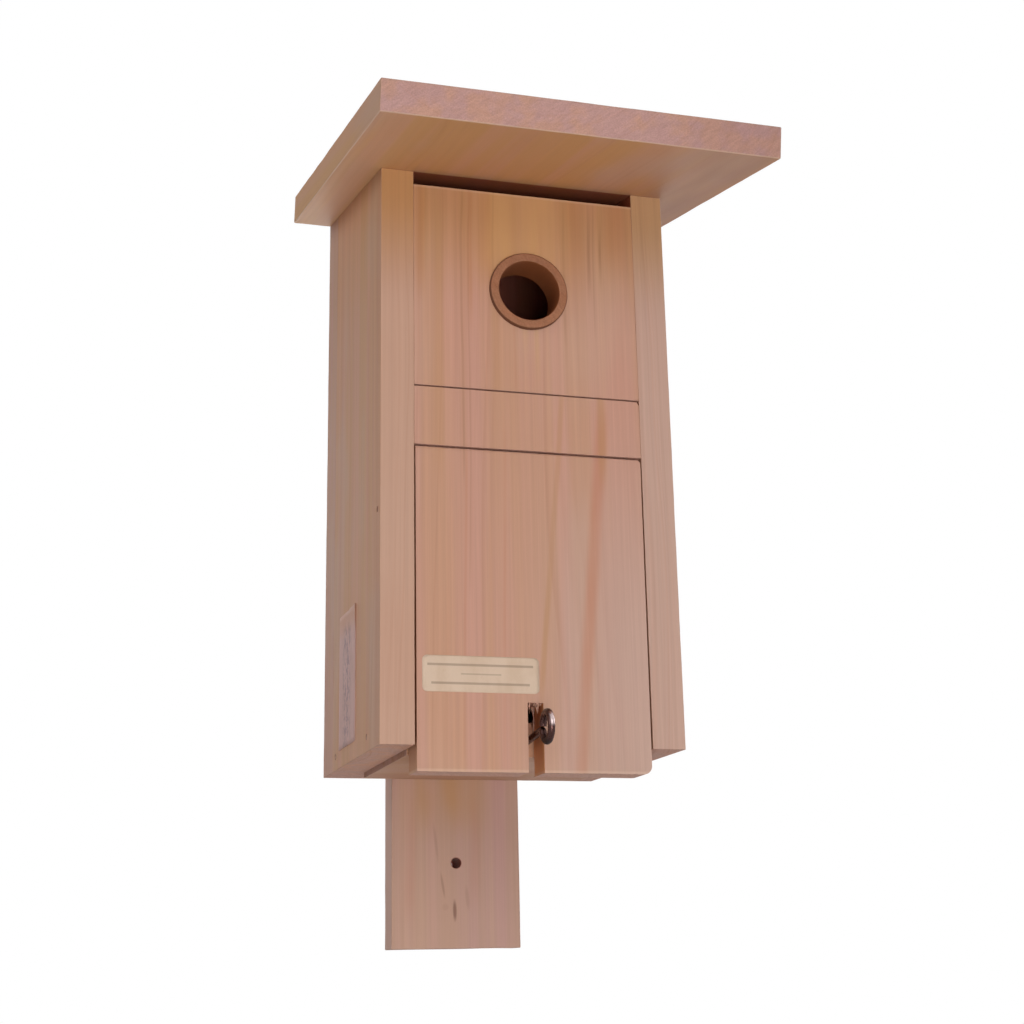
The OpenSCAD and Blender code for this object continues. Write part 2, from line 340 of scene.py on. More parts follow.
def growth_rings(wood, pith, ring):
    """How late in its year the wood grew, in rings that bend a little along the log."""

    def from_pith(place, middle, bend):
        strays = wood.scale(bend, 0, 1, middle - PITH_WANDER, middle + PITH_WANDER)
        return wood.minus(place, strays)

    from_x = from_pith(wood.sideways, pith[0], wood.grainy((0.009, 0.009, 0.0035), 0, 1))
    from_y = from_pith(wood.deep, pith[1], wood.grainy((0.011, 0.011, 0.004), 31, 1))
    turns = wood.math("DIVIDE", wood.length(wood.vector(from_x, from_y, 0)), ring)
    uneven = wood.noise(wood.vector(wood.times(turns, 0.31), wood.seed, 0), 1)
    turns = wood.plus(turns, wood.scale(uneven, 0, 1, -2.2, 2.2))
    phase = wood.math("FRACT", turns)
    late = wood.times(wood.ease(phase, 0.25, 0.85), wood.fade(phase, 0.86, 1))
    year = wood.add("TexWhiteNoise", {"W": wood.math("FLOOR", turns)}, noise_dimensions="1D")
    return wood.times(late, wood.math("POWER", year.outputs["Value"], 1.7))


def broad_tone(wood, look):
    """The board's pink, gold and pale parts, its narrow sides and warm painted shade at its top."""
    broad = wood.grainy((0.075, 0.075, 0.0022), 3, 2, 0.55)
    patch = wood.grainy((0.018, 0.018, 0.007), 11, 2)
    colour = wood.mix(wood.ease(broad, 0.38, 0.62), look.pink, look.gold)
    colour = wood.mix(wood.ease(patch, 0.5, 0.7, 0, 0.6), colour, PALE)
    narrow = wood.ease(wood.facing(wood.across), 0.6, 0.9)
    if look.edge_tone is not None:
        colour = wood.mix(narrow, colour, look.edge_tone)
    if look.pale_corner:
        right = wood.ease(wood.rightwards, -25, 60)
        low = wood.fade(wood.height, 40, 200, look.pale_corner)
        colour = wood.mix(wood.times(right, low), colour, LILAC_WOOD)
    # Warm painted shade towards the top, under the roof's overhang
    if look.golden_from is not None:
        roof_shade = wood.ease(wood.height, look.golden_from, look.golden_from + ROOF_SHADE_RISE)
        golden = look.golden
        if look.golden_edge is not None:
            golden = wood.mix(narrow, golden, look.golden_edge)
        colour = wood.mix(roof_shade, colour, golden, "MULTIPLY")
    return colour


def notch_sides(wood, colour, half_width, top):
    """The sides of a notch in the board's foot, in a fresh-cut tone brightened with painted light.
    """
    beside = wood.fade(wood.math("ABSOLUTE", wood.sideways), half_width, half_width + 0.6)
    below = wood.fade(wood.height, top, top + 0.6)
    turned = wood.fade(wood.facing(wood.through), 0.3, 0.7)
    return wood.mix(wood.times(beside, below, turned, 0.85), colour, CUT_AND_LIT_WOOD)


def streaked(wood, colour, streaks):
    """Single bands along the grain."""
    sway = wood.grainy((0, 0, 0.011), 29, 1)
    swayed = wood.plus(wood.sideways, wood.scale(sway, 0, 1, -1.8, 1.8))
    strong = wood.grainy((0.09, 0, 0.016), 37, 1)
    strong = wood.scale(strong, 0.3, 0.65, 0.45, 1)
    rise = wood.minus(wood.lengthways, STREAK_HEIGHT)
    for at, lean, half_width, strength, tone, lowest, highest in streaks:
        way = wood.plus(wood.times(rise, lean), at)
        off = wood.away(swayed, way)
        share = wood.fade(off, half_width * 0.25, half_width * 1.3, strength)
        from_middle = wood.away(wood.lengthways, (lowest + highest) / 2)
        half_length = (highest - lowest) / 2
        ends = wood.fade(from_middle, half_length - 10, half_length + 20)
        colour = wood.mix(wood.times(share, strong, ends), colour, tone)
    return colour


def flecked(wood, colour, marks):
    """Dark flecks of resin."""
    for across, along, half_width, half_length, lean, strength in marks:
        rise = wood.minus(wood.lengthways, along)
        middle = wood.plus(wood.times(rise, lean), across)
        off_x = wood.math("DIVIDE", wood.minus(wood.sideways, middle), half_width)
        off_z = wood.math("DIVIDE", rise, half_length)
        reach = wood.length(wood.vector(off_x, off_z, 0))
        colour = wood.mix(wood.fade(reach, 0.35, 1, strength), colour, RESIN)
    return colour


def bored(wood, colour, bores):
    """Painted shade on the walls of the drilled holes."""
    for across, along, radius in bores:
        off_x = wood.minus(wood.sideways, across)
        off_z = wood.minus(wood.lengthways, along)
        reach = wood.length(wood.vector(off_x, off_z, 0))
        dark = wood.fade(reach, radius + 0.05, radius + 0.45)
        colour = wood.mix(dark, colour, SHADE_TINT, "MULTIPLY")
    return colour


def saw_marks(wood, angle):
    """Noise drawn out along the strokes of the saw, across the sawn ends."""
    sine, cosine = math.sin(math.radians(angle)), math.cos(math.radians(angle))
    across = wood.plus(wood.times(wood.sideways, sine), wood.times(wood.deep, cosine))
    along = wood.minus(wood.times(wood.sideways, cosine), wood.times(wood.deep, sine))
    turned = wood.vector(across, along, wood.lengthways)
    return wood.noise(wood.stretched(turned, (0.8, 0.14, 0.3), wood.seed), 3, 0.7)


def end_colour(wood, look, late, saw, pores):
    """The colour of the sawn ends."""
    blush = wood.grainy((0.09, 0.09, 0.05), 23, 2)
    colour = wood.mix(wood.ease(blush, 0.4, 0.65, 0, look.end_blush), look.end_grain, look.pink)
    colour = wood.mix(wood.times(late, look.end_rings), colour, LATE_WOOD)
    saw_level = wood.scale(saw, 0.3, 0.7, 0.89, 1.1)
    return wood.tint(colour, wood.times(saw_level, wood.scale(pores, 0.3, 0.7, 0.84, 1.14)))


def cavity_shade_share(wood):
    """1 on the faces that look into the box's upper space, which are painted in shade, else 0."""
    share = 1
    for i, axis in enumerate((X_AXIS, Y_AXIS, Z_AXIS)):
        along = wood.dot(wood.place, axis)
        low, high = CAVITY_LOW[i] - 0.6, CAVITY_HIGH[i]
        past_low = wood.ease(along, low, low + CAVITY_FADE[i])
        share = wood.times(share, past_low, wood.fade(along, high + 0.1, high + 0.6))
    middle = (CAVITY_LOW + CAVITY_HIGH) / 2
    inwards = wood.vector_math("SUBTRACT", middle, wood.place)[0]
    return wood.times(share, wood.ease(wood.dot(inwards, wood.normal), 6, 16))


def flank_colour(wood, look, late, fibre):
    """The colour of the faces along the grain."""
    streak = wood.grainy((0.55, 0.55, 0.0035), 5, 3, 0.65)
    colour = broad_tone(wood, look)
    colour = wood.mix(wood.times(late, look.contrast), colour, LATE_WOOD)
    level = wood.scale(streak, 0.25, 0.75, 1 - 0.07 * look.streaky, 1 + 0.06 * look.streaky)
    colour = wood.tint(colour, wood.times(level, wood.scale(fibre, 0.2, 0.8, 0.96, 1.035)))
    # Painted shade on the faces along the grain
    if look.flank_tone is not None:
        colour = wood.mix(0.85, colour, look.flank_tone)
    if look.notch is not None:
        colour = notch_sides(wood, colour, *look.notch)
    if look.streaks:
        colour = streaked(wood, colour, look.streaks)
    colour = flecked(wood, colour, look.marks)
    colour = bored(wood, colour, look.bores)
    if look.rim is not None:
        rubbed = wood.fade(wood.away(wood.height, look.rim), 0.4, 1.3, 0.22)
        colour = wood.mix(rubbed, colour, PALE_WEAR_AND_HIGHLIGHT)
    return colour


def shaded_and_worn(wood, look, colour):
    """The colour darker at the right end, with painted shade in the box and pale worn edges."""
    if look.dull_right is not None:
        right_end = wood.ease(wood.rightwards, 25, 85)
        colour = wood.mix(right_end, colour, look.dull_right, "MULTIPLY")
    # Painted shade where the wood faces the box's upper space
    if look.inside:
        colour = wood.mix(cavity_shade_share(wood), colour, SHADE_TINT, "MULTIPLY")
    worn = wood.add("Attribute", attribute_name="arris").outputs["Fac"]
    colour = wood.mix(wood.times(worn, 0.4), colour, PALE)
    # Painted highlight on the worn edges that face down
    if look.low_arris:
        down = wood.ease(wood.dot(wood.normal, -Z_AXIS), 0.2, 0.6, 0, look.low_arris)
        colour = wood.mix(wood.times(worn, down), colour, PALE_WEAR_AND_HIGHLIGHT)
    return colour


def timber(name, along, across, pith, seed, **changes):
    """Softwood, with growth rings round the pith, fibres along the grain and sawn ends.

    along is the way of the grain, across a board's width, and pith the place of the log's
    middle in millimetres, across and through the board. changes stand in for entries of
    PLAIN_TIMBER.
    """
    look = SimpleNamespace(**{**PLAIN_TIMBER, **changes})
    material = bpy.data.materials.new(name)
    wood = Wood(material, along, across, seed)
    late = growth_rings(wood, pith, look.ring)
    fibre = wood.grainy((2.3, 2.3, 0.03), 7, 3, 0.65)
    saw = saw_marks(wood, look.saw_angle)
    pores = wood.grainy((1.15, 1.15, 0.4), 17, 3, 0.75)
    end = wood.ease(wood.facing(along), 0.55, 0.85)
    flanks = flank_colour(wood, look, late, fibre)
    ends = end_colour(wood, look, late, saw, pores)
    colour = shaded_and_worn(wood, look, wood.mix(wood.times(end, 0.9), flanks, ends))

    ridges = wood.scale(late, 0, 1, 0, 0.04)
    flat_relief = wood.plus(ridges, wood.scale(fibre, 0, 1, 0, 0.07))
    end_relief = wood.plus(wood.scale(saw, 0, 1, 0, 0.25), wood.scale(pores, 0, 1, 0, 0.2))
    relief = wood.add("Mix", {0: end, 2: flat_relief, 3: end_relief}, data_type="FLOAT")
    rough = wood.plus(wood.scale(fibre, 0, 1, 0.54, 0.7), wood.times(end, 0.15))
    wood.finish(colour, rough, 0.28, relief.outputs[0])
    return material


# ---- steel and paper


def steel(name, colour, roughness, scratch, stain, stain_share, highlight=None, dark_end=None):
    """Plated or bare steel, scratched, with a dull bloom in patches.

    polished is a place rubbed bright on its right side and grimy a dark one, each as
    Two optional places, each (middle, radius, colour) with the middle and the radius in
    millimetres: a painted highlight on the right side of the first, and a painted dark
    reflection at the second.
    """
    material, tree = new_material(name)
    place = tree.object_mm()
    patches = tree.noise(tree.stretched(place, (0.7, 0.7, 0.7)), 4, 0.65)
    lines = tree.noise(tree.stretched(place, (9, 0.7, 9), 4), 2, 0.6)
    bloom = tree.ease(patches, 0.48, 0.68, 0, stain_share)
    base = tree.mix(bloom, colour, stain)
    metal = 1
    dullness = tree.times(bloom, 0.3)
    # A painted highlight on the right side near the first place
    if highlight is not None:
        middle, radius, highlight_colour = highlight
        near = tree.fade(tree.distance(place, middle), radius * 0.6, radius * 1.15)
        to_right = tree.dot(tree.surface_data("Normal"), X_AXIS)
        rubbed = tree.times(tree.ease(to_right, -0.7, -0.15), tree.fade(to_right, 0.6, 0.9))
        base = tree.mix(tree.times(near, rubbed), base, highlight_colour)
    # A painted dark reflection near the second place, less metallic and rougher
    if dark_end is not None:
        middle, radius, dirt = dark_end
        near = tree.fade(tree.distance(place, middle), radius * 0.5, radius * 1.2)
        base = tree.mix(near, base, dirt)
        metal = tree.minus(1, tree.times(near, 0.85))
        dullness = tree.plus(dullness, tree.times(near, 0.25))
    base = tree.tint(base, tree.scale(lines, 0.2, 0.8, 0.9, 1.08))
    rough = tree.plus(tree.scale(lines, 0.2, 0.8, roughness, roughness + scratch), dullness)
    tree.finish(base, rough, 0.12, tree.scale(lines, 0, 1, 0, 0.01), metal)
    return material


INK = srgb(98, 74, 54)


def ruled(tree, base, parts, pulp, lines):
    """Plain ruled lines, a little uneven in the paper's pulp."""
    for height, left, right, half, strength in lines:
        line = tree.fade(tree.away(parts[2], height), half * 0.6, half * 1.4, strength)
        after_left = tree.ease(parts[0], left, left + 0.3)
        inside = tree.times(after_left, tree.fade(parts[0], right - 0.3, right))
        ink = tree.times(line, inside, tree.scale(pulp, 0.3, 0.7, 0.75, 1))
        base = tree.mix(ink, base, INK)
    return base


def paper(name, colour, worn_colour, worn_share, wood, flecks, lines=(), weathered=None):
    """A thin paper label that takes up some of the wood's tone, with rubbed flecks.

    lines are plain ruled lines on a label that faces the front, each (height, left end,
    right end, half thickness, strength) with the height and the ends in millimetres.
    weathered darkens the middle of a label on the left wall and lets its upper end go
    brown, as (middle, half width, height where the brown starts, dirt, brown).
    """
    material, tree = new_material(name)
    place = tree.object_mm()
    cloudy = tree.noise(tree.stretched(place, (0.11, 0.11, 0.05)), 4, 0.6)
    pulp = tree.noise(tree.stretched(place, (3.1, 3.1, 3.1)), 3, 0.7)
    rubbed = tree.noise(tree.stretched(place, (0.32, 0.32, 0.2), 9), 4, 0.72)
    base = tree.mix(tree.ease(cloudy, 0.38, 0.7, 0, worn_share), colour, worn_colour)
    base = tree.tint(base, tree.scale(pulp, 0.2, 0.8, 0.95, 1.04))
    base = tree.mix(tree.ease(rubbed, 0.6, 0.7, 0, flecks), base, wood)
    parts = tree.add("SeparateXYZ", {0: place}).outputs
    if weathered is not None:
        middle, half_width, brown_from, dirt, brown = weathered
        specks = tree.noise(tree.stretched(place, (0.3, 0.3, 0.24), 21), 4, 0.75)
        band = tree.fade(tree.away(parts[1], middle), half_width * 0.3, half_width, 0.8)
        base = tree.mix(tree.times(band, tree.ease(specks, 0.42, 0.62)), base, dirt)
        base = tree.mix(tree.ease(parts[2], brown_from, brown_from + 12, 0, 0.9), base, brown)
    base = ruled(tree, base, parts, pulp, lines)
    relief = tree.scale(pulp, 0, 1, 0, 0.03)
    tree.finish(base, tree.scale(cloudy, 0, 1, 0.5, 0.75), 0.35, relief)
    return material


# ---- meshes


def mesh_piece(name, mesh, material, body, slot, replaced=(), smooth=True):
    """Turns a bmesh into a finished piece that rides on a body."""
    bmesh.ops.recalc_face_normals(mesh, faces=mesh.faces)
    data = bpy.data.meshes.new(name)
    mesh.to_mesh(data)
    mesh.free()
    for polygon in data.polygons:
        polygon.use_smooth = smooth
    data.materials.append(material)
    piece = placed(name, data)
    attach(piece, body)
    if replaced:
        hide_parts(*replaced)
    return piece


def mark_sharp(mesh, degrees, smooth_faces=frozenset()):
    """Keeps edges that turn by more than degrees crisp, except round smooth_faces."""
    for edge in mesh.edges:
        turned = edge.is_manifold and edge.calc_face_angle() > math.radians(degrees)
        edge.smooth = not turned or bool(smooth_faces.intersection(edge.link_faces))


ARRIS_STEP = 11 * MM
SHORTEST_ARRIS = 5 * MM
SHARP_DEGREES = 35
SAME_PLACE = 0.002 * MM
DENT_SPACING = 28 * MM
DENT_THRESHOLD = 0.42  # dents lie where the noise is above this
DENT_DEPTH = 4  # times the wear


def node_mesh(node):
    """A CAD node's mesh with its doubled corners joined."""
    mesh = bmesh.new()
    mesh.from_mesh(frame["nodes"][node].data)
    bmesh.ops.remove_doubles(mesh, verts=mesh.verts, dist=SAME_PLACE)
    return mesh


def short_arrises(mesh):
    """A board's sharp edges, cut into short lengths so that their wear can vary."""
    sharp = math.radians(SHARP_DEGREES)
    edges = [
        e
        for e in mesh.edges
        if e.is_manifold and e.calc_length() > SHORTEST_ARRIS and e.calc_face_angle() > sharp
    ]
    halved = edges
    while halved:
        halved = [e for e in edges if e.calc_length() > ARRIS_STEP]
        edges += [bmesh.utils.edge_split(e, e.verts[0], 0.5)[0] for e in halved]
    return edges


def rub_down(mesh, rounded, wear, seed):
    """Wears the rounded faces down unevenly, with a few dents, and marks them for timber."""
    shade = mesh.verts.layers.float.new("arris")
    mesh.normal_update()
    moves = []
    for vertex in {v for face in rounded for v in face.verts}:
        if all(face in rounded for face in vertex.link_faces):
            vertex[shade] = 1
        place = vertex.co / DENT_SPACING + Vector((seed, seed, seed))
        rub = abs(noise.noise(place)) * wear
        above = noise.noise(place * 0.6 + Vector((7, 3, 5))) - DENT_THRESHOLD
        dent = max(0, above) * DENT_DEPTH * wear
        moves.append((vertex, vertex.normal * (rub + dent) * MM))
    for vertex, move in moves:
        vertex.co -= move


def worn_board(node, body, slot, material, arris, wear, seed):
    """A CAD board with rounded, worn edges, arris millimetres wide."""
    mesh = node_mesh(node)
    flat = math.radians(0.5)
    bmesh.ops.dissolve_limit(mesh, angle_limit=flat, verts=mesh.verts, edges=mesh.edges)
    made = bmesh.ops.bevel(
        mesh, geom=short_arrises(mesh), offset=arris * MM, offset_type="OFFSET", segments=3,
        profile=0.6, affect="EDGES", clamp_overlap=True,
    )
    rounded = set(made["faces"])
    rub_down(mesh, rounded, wear, seed)
    mark_sharp(mesh, SHARP_DEGREES, rounded)
    piece = mesh_piece(node + "_wood", mesh, material, body, slot, (node,))
    modifier = piece.modifiers.new("flat_faces", "WEIGHTED_NORMAL")
    modifier.keep_sharp = True


def add_rings(mesh, rings, closed=True):
    """Skins a list of equal rings of places with quads, and closes its ends if asked."""
    rows = [[mesh.verts.new(place) for place in ring] for ring in rings]
    count = len(rows[0])
    for first, second in zip(rows, rows[1:]):
        for i in range(count):
            j = (i + 1) % count
            mesh.faces.new((first[i], first[j], second[j], second[i]))
    if closed:
        mesh.faces.new(rows[0])
        mesh.faces.new(rows[-1])


def turned_rings(origin, axis, profile, segments, shape):
    """The rings of a turned solid.

    profile holds (distance along the axis, radius) pairs, in millimetres. shape takes
    (along, radius, angle) and returns a changed along and radius.
    """
    side = axis.orthogonal().normalized()
    other = axis.cross(side).normalized()
    rings = []
    for along, radius in profile:
        ring = []
        for i in range(segments):
            angle = 2 * math.pi * i / segments
            a, r = shape(along, radius, angle)
            out = side * math.cos(angle) + other * math.sin(angle)
            ring.append(origin + (axis * a + out * r) * MM)
        rings.append(ring)
    return rings


def arc(centre_along, centre_radius, radius, start, end, steps):
    """Points of a profile on an arc, from start to end degrees."""
    points = []
    for i in range(steps + 1):
        angle = math.radians(start + (end - start) * i / steps)
        along = centre_along + radius * math.sin(angle)
        points.append((along, centre_radius + radius * math.cos(angle)))
    return points


def stepped(start, end, step):
    """Profile points along a straight line, a step apart or less."""
    length = math.hypot(end[0] - start[0], end[1] - start[1])
    count = max(1, math.ceil(length / step))
    return [
        (start[0] + (end[0] - start[0]) * i / count, start[1] + (end[1] - start[1]) * i / count)
        for i in range(count + 1)
    ]


# ---- boards


def slot_extent():
    """Half the width of the flap's slot and the height of its upper end, in millimetres."""
    low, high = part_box("flap")
    reach = low.z + (high.z - low.z) / 3
    half = (high.x - low.x) / 6
    corners = [v.co for v in vertices_of("flap") if abs(v.co.x) < half and v.co.z < reach]
    return max(abs(c.x) for c in corners) / MM, max(c.z for c in corners) / MM


# Streaks that the flap and the panel share
LEFT_LINES = (
    (-37, 0.004, 0.8, 0.35, BROWN_LINE, 150, 300),
    (-33.5, 0.006, 0.6, 0.25, BROWN_LINE, 90, 290),
)
LEFT_BAND = (-52, 0.02, 3.5, 0.25, HONEY, 150, 310)
FLAP_STREAKS = (
    (33, 0.087, 4.2, 0.6, ROSE, -20, 175),
    (24, 0.05, 7, 0.35, LILAC_WOOD, -20, 120),
    (9.5, 0.09, 1.8, 0.45, HONEY, 30, 190),
    (39.5, 0.01, 2.6, 0.5, HONEY, 150, 200),
    *LEFT_LINES,
    (-15, 0.01, 0.9, 0.35, ROSE, 0, 160),
    (-36, 0.01, 0.8, 0.4, ROSE, 0, 150),
    LEFT_BAND,
)
PANEL_STREAKS = (
    (35, 0.008, 0.6, 0.3, BROWN_LINE, 255, 300),
    (38.5, 0.006, 0.5, 0.22, BROWN_LINE, 235, 300),
    (21.5, 0.004, 0.9, 0.22, BROWN_LINE, 225, 300),
    *LEFT_LINES,
    (-18, 0.004, 2.4, 0.35, HONEY, 190, 240),
    (-8, 0.006, 0.8, 0.3, ROSE, 190, 300),
    LEFT_BAND,
    (-59, 0, 3, 0.35, AMBER, 250, 320),
    (-31.5, 0, 1.6, 0.4, AMBER, 235, 320),
    (-22.5, 0, 5, 0.4, AMBER, 262, 320),
    (-18.4, 0, 0.7, 0.45, BROWN_LINE, 262, 320),
    (-1, 0, 2.2, 0.4, STRAW, 225, 320),
    (5.5, 0, 1.6, 0.35, STRAW, 200, 320),
    (14, 0, 4, 0.35, STRAW, 262, 320),
    (29.5, 0, 6.5, 0.4, AMBER, 268, 320),
    (37.3, 0, 0.8, 0.5, BROWN_LINE, 262, 285),
    (43.8, 0, 0.9, 0.4, BROWN_LINE, 268, 280),
    (53, 0, 7, 0.4, AMBER, 272, 320),
    # A broad light band at the panel's top: painted light under the roof
    (-2, 0, 26, 0.9, srgb(214, 165, 112), 262, 330),
)


def front_timber(name, rim, streaks, inside):
    """The wood of the front's three boards, with one end rubbed pale at the height rim."""
    # The narrow sides take a sawn tone that is partly painted shade
    return timber(
        name, Z_AXIS, X_AXIS, (48, 260), 2, ring=2.6, contrast=0.2, golden_from=232,
        golden=(1, 0.98, 0.7, 1), edge_tone=SAWN_AND_SHADED_EDGE, notch=slot_extent(), pale_corner=0.8,
        rim=rim / MM, streaks=streaks, inside=inside,
    )


flap_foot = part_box("flap")[0].z + 0.5 * MM
panel_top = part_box("entrance_panel")[1].z - 0.5 * MM
flap_wood = front_timber("flap_timber", flap_foot, FLAP_STREAKS, False)
panel_wood = front_timber("panel_timber", panel_top, PANEL_STREAKS, True)
left_wood = timber(
    "left_timber", Z_AXIS, Y_AXIS, (-120, -190), 12, ring=2.6, contrast=0.2,
    pink=srgb(207, 153, 124), gold=srgb(203, 152, 114), edge_tone=srgb(199, 161, 140),
    golden_from=235, golden=(1, 0.95, 0.78, 1), golden_edge=(1, 0.86, 0.5, 1),
    streaks=(
        (-163, 0, 8, 0.4, srgb(184, 124, 92), -20, 300),
        (-140, 0, 5, 0.3, srgb(196, 130, 100), -20, 250),
        (-62, 0, 5, 0.25, srgb(196, 130, 104), -20, 330),
    ),
)
right_wood = timber(
    "right_timber", Z_AXIS, Y_AXIS, (-95, -180), 21, ring=2.8, contrast=0.2,
    edge_tone=srgb(198, 162, 146), golden_from=235, golden=(1, 0.9, 0.68, 1),
    golden_edge=(1, 0.92, 0.6, 1),
)
back_wood = timber("back_timber", Z_AXIS, X_AXIS, (15, 90), 33, ring=3.6, contrast=0.28)
# The floor's darker pink and gold are partly painted shade of the box's shaded underside
floor_wood = timber(
    "floor_timber", X_AXIS, Y_AXIS, (-90, -70), 41, contrast=0.25, pink=srgb(177, 129, 103),
    gold=srgb(175, 127, 95),
)
roof_wood = timber(
    "roof_timber", UP_THE_ROOF, X_AXIS, (-30, 425), 52, ring=2.6, contrast=0.14,
    pink=srgb(206, 153, 116), gold=srgb(205, 153, 104), end_grain=srgb(190, 149, 145),
    saw_angle=-35, streaky=0.4, end_rings=0.18, end_blush=0.35, low_arris=0.4,
    dull_right=(0.88, 0.87, 0.88, 1),
    streaks=((92, 0, 30, 0.6, srgb(172, 126, 100), -900, 900),),
)


def fixing_holes():
    """The batten's holes above and below the box, each (x, z, radius) in millimetres."""
    low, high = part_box("batten")
    box_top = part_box("roof_board")[1].z
    box_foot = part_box("left_side")[0].z
    inner = [v.co for v in vertices_of("batten") if low.x + 5 * MM < v.co.x < high.x - 5 * MM]
    holes = []
    for rim in ([c for c in inner if c.z > box_top], [c for c in inner if c.z < box_foot]):
        left, right = min(c.x for c in rim), max(c.x for c in rim)
        middle_z = (min(c.z for c in rim) + max(c.z for c in rim)) / 2
        holes.append(((left + right) / 2 / MM, middle_z / MM, (right - left) / 2 / MM))
    return holes


batten_wood = timber(
    "batten_timber", Z_AXIS, X_AXIS, (10, 90), 63, contrast=0.2, pink=srgb(196, 155, 145),
    # edge_tone paints the batten's narrow sides lighter: painted light
    gold=srgb(192, 155, 137), edge_tone=srgb(208, 168, 152), bores=fixing_holes(),
    streaks=(
        # A golden-brown band down the middle, partly the wood's tone and partly painted shade below
        # the box
        (-8, 0, 28, 0.85, srgb(190, 144, 102), -20, 440),
        (9, 0, 4, 0.2, ROSE, -60, -20),
        (-30, 0, 4, 0.2, ROSE, -70, -20),
    ),
    marks=(
        (-4, -74, 1.5, 7.5, -0.02, 0.6),
        (-11, -60, 1, 9, -0.16, 0.28),
        (-15, -36, 1.2, 14, -0.12, 0.14),
        (3.5, -67, 1.6, 9, -0.1, 0.12),
        (-9.5, -72, 2.6, 2.6, 0, 0.08),
    ),
)

BOARDS = (
    ("batten", "box", "back_wood", batten_wood, 0.7, 0.22),
    ("back_board", "box", "back_wood", back_wood, 0.6, 0.2),
    ("left_side", "box", "side_wood", left_wood, 0.5, 0.15),
    ("right_side", "box", "side_wood", right_wood, 0.5, 0.15),
    ("floor_board", "box", "back_wood", floor_wood, 0.5, 0.15),
    ("entrance_panel", "box", "front_wood", panel_wood, 0.3, 0.08),
    ("front_rail", "box", "front_wood", flap_wood, 0.3, 0.08),
    ("flap", "flap", "front_wood", flap_wood, 0.4, 0.12),
    ("roof_board", "box", "roof_wood", roof_wood, 0.8, 0.25),
)
for number, (node, body, slot, material, arris, wear) in enumerate(BOARDS):
    worn_board(node, body, slot, material, arris, wear, seed=3.7 * number)


# ---- entrance ring


def ring_timber(name, flank_tone):
    """The turned ring's darker wood, with painted shade on its faces along the grain."""
    return timber(
        name, Y_AXIS, X_AXIS, (8, -30), 71, ring=2.2, pink=srgb(160, 107, 78),
        gold=srgb(156, 103, 72), end_grain=srgb(163, 113, 85), flank_tone=flank_tone,
        inside=False,
    )


# Painted shade in the ring's bore, and darker painted shade on its outer side
ring_wood = ring_timber("ring_timber", srgb(140, 77, 40))
ring_rim_shade_wood = ring_timber("ring_rim_shade_timber", srgb(92, 56, 38))


# Millimetres
OUTER_ROUND = 1.2
INNER_ROUND = 0.8
PROFILE_STEP = 0.3
GROOVE_DEPTH = 0.035


def ring_profile(length, bore, outer):
    """The ring's section, from its bore's rear end over its face to its outside."""
    face = stepped((0, bore + INNER_ROUND), (0, outer - OUTER_ROUND), PROFILE_STEP)
    profile = stepped((length, bore), (INNER_ROUND, bore), PROFILE_STEP)
    profile += arc(INNER_ROUND, bore + INNER_ROUND, INNER_ROUND, 180, 270, 6)
    profile += face[1:]
    profile += arc(OUTER_ROUND, outer - OUTER_ROUND, OUTER_ROUND, -90, 0, 6)[1:]
    return profile + stepped((OUTER_ROUND, outer), (length, outer), 1)[1:]


def turned_ring():
    """The ring in the entrance, with turning marks on its face and in its bore."""
    low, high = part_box("entrance_ring")
    middle = (low + high) / 2
    outer = (high.x - low.x) / 2 / MM
    corners = [v.co - middle for v in vertices_of("entrance_ring")]
    bore = min(math.hypot(c.x, c.z) for c in corners) / MM

    def turning_marks(along, radius, angle):
        cut = GROOVE_DEPTH * (1 + math.sin(radius * 7.3 + along * 5.9))
        if along < OUTER_ROUND:
            return along + cut, radius
        return along, radius + (cut if radius < bore + 0.01 else 0)

    mesh = bmesh.new()
    origin = Vector((middle.x, low.y, middle.z))
    profile = ring_profile((high.y - low.y) / MM, bore, outer)
    rings = turned_rings(origin, Y_AXIS, profile, 160, turning_marks)
    add_rings(mesh, rings + rings[:1], closed=False)
    bmesh.ops.remove_doubles(mesh, verts=mesh.verts, dist=0.001 * MM)
    mark_sharp(mesh, SHARP_DEGREES)
    piece = mesh_piece("turned_ring", mesh, ring_wood, "box", "ring_wood", ("entrance_ring",))
    piece.data.materials.append(ring_rim_shade_wood)
    # Faces on the ring's outside take the darker copy: painted shade
    for polygon in piece.data.polygons:
        off = polygon.center - middle
        if math.hypot(off.x, off.z) > (outer - 0.5) * MM:
            polygon.material_index = 1


turned_ring()


# ---- screw eye


def eye_joint():
    """The eye's turning axis, from the ring's side, and the mouth of its bore."""
    joint = next(j for j in frame["record"]["behaviour"]["joints"] if j["child"] == "eye")
    return Vector(joint["axis"]).normalized(), Vector(joint["pos_m"])


def eye_ring():
    """The middle of the eye's ring, its radius to the wire's middle line, and the wire's."""
    forward, mouth = eye_joint()
    vertices = vertices_of("screw_eye")
    low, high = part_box("screw_eye")
    wire = (high.x - low.x) / 2
    downward = X_AXIS.cross(forward)
    ring_r = max((v.co - mouth).dot(downward) for v in vertices) - wire
    reach = max((v.co - mouth).dot(forward) for v in vertices)
    return mouth + forward * (reach - wire - ring_r), ring_r, wire


def highlight_place():
    """Where the eye's ring gets a painted highlight: above its front end."""
    middle, ring_r, _ = eye_ring()
    turn = math.radians(24)
    return (middle + (Z_AXIS * math.sin(turn) - Y_AXIS * math.cos(turn)) * ring_r) / MM


def dark_end_place():
    """Where the eye's ring gets a painted dark reflection: at its lower end."""
    middle, ring_r, _ = eye_ring()
    return (middle - Z_AXIS * ring_r) / MM


